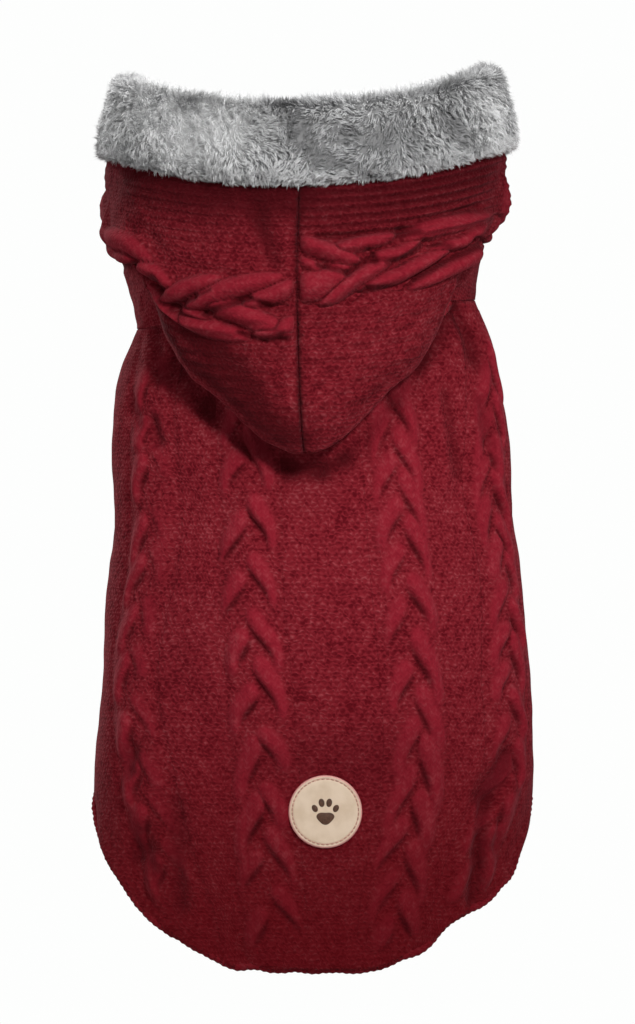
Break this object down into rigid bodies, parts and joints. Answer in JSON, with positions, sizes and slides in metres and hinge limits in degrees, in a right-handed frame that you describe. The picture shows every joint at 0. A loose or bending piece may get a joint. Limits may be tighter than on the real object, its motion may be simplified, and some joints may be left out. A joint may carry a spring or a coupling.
{
  "type": "hooded pet jacket",
  "caption": "Sleeveless knitted pet jacket with plaited cables, an open hood edged with fur hanging down the back, a belly panel with leg holes, and a long rounded hem.",
  "frame": {"origin": "middle of the neck opening, level with the neck seam, where the wearer's neck holds the jacket", "axes": "+Z from hem to hood along the wearer's back, -Y out of the back, +X to the right as seen from behind the back"},
  "size_m": [0.2112, 0.1479, 0.4337],
  "materials": {
    "knit": "matt burgundy cable knit with a fine halo of fibres",
    "fur": "short plush grey faux fur",
    "label": "smooth cream leather with a rose edge"
  },
  "bodies": {
    "root": {"back_panel": "knit", "belly_panel": "knit", "hood_left": "knit", "hood_right": "knit", "fur_trim": "fur", "label_patch": "label"}
  },
  "joints": []
}
